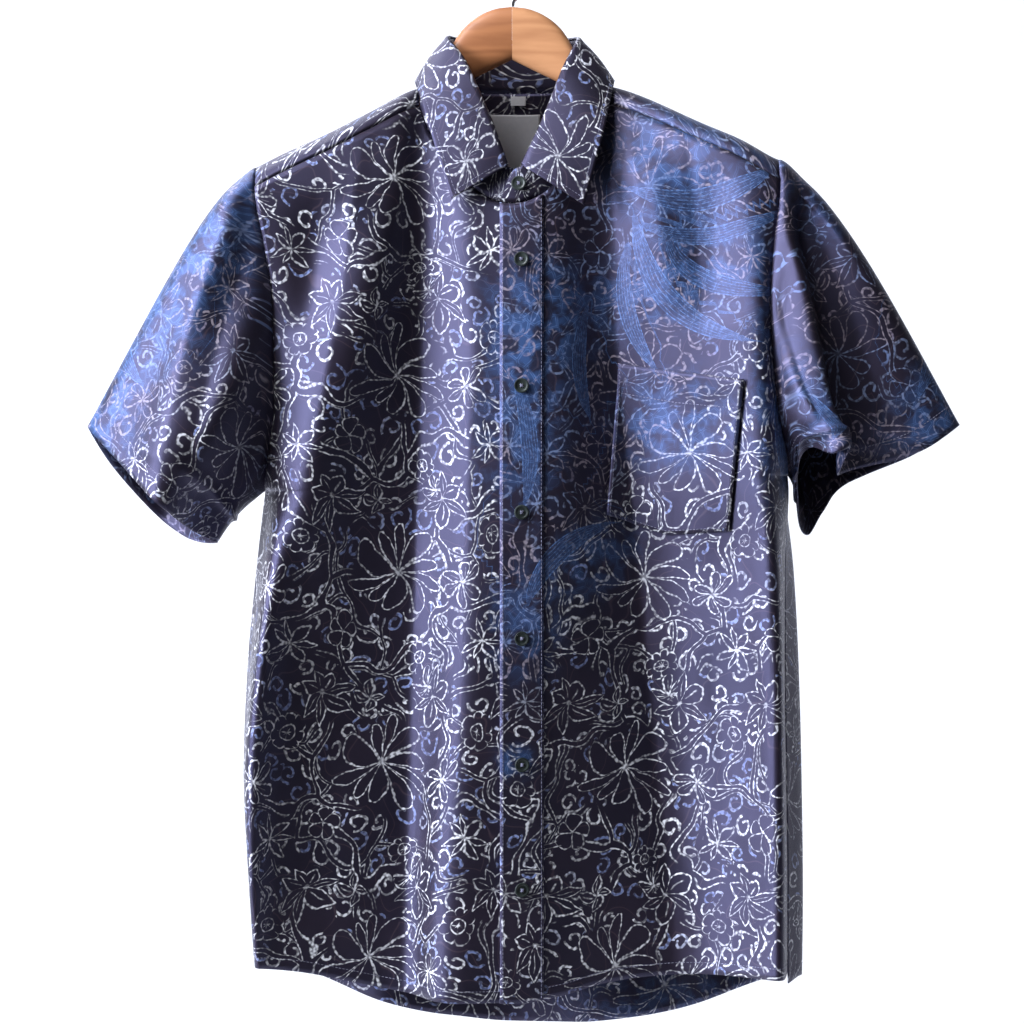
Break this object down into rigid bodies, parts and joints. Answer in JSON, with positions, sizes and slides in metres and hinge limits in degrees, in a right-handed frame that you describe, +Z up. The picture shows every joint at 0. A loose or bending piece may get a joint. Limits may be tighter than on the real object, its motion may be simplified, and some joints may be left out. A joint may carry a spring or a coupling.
{
  "type": "batik shirt on a wooden hanger",
  "caption": "Short-sleeved buttoned batik shirt with collar and chest pocket, hanging on a contoured wooden hanger with a wire hook.",
  "frame": {"origin": "inside top of the hanger's hook, where a rail bears", "axes": "+Z up, -Y towards the front of the shirt, +X towards the wearer's left"},
  "size_m": [0.671, 0.1654, 0.8537],
  "materials": {
    "batik_cotton": "matt printed cotton",
    "label_tape": "woven tape",
    "button_resin": "satin",
    "hanger_wood": "clear varnish",
    "hook_steel": "polished wire"
  },
  "bodies": {
    "root": {"front_right": "batik_cotton", "front_left": "batik_cotton", "placket": "batik_cotton", "pocket": "batik_cotton", "back": "batik_cotton", "yoke": "batik_cotton", "sleeve_right": "batik_cotton", "sleeve_left": "batik_cotton", "collar_stand": "batik_cotton", "collar_fall": "batik_cotton", "button_1": "button_resin", "button_2": "button_resin", "button_3": "button_resin", "button_4": "button_resin", "button_5": "button_resin", "button_6": "button_resin", "button_collar": "button_resin", "neck_label": "label_tape", "size_tag": "label_tape", "hanger_right": "hanger_wood", "hanger_left": "hanger_wood", "hook": "hook_steel"}
  },
  "joints": []
}
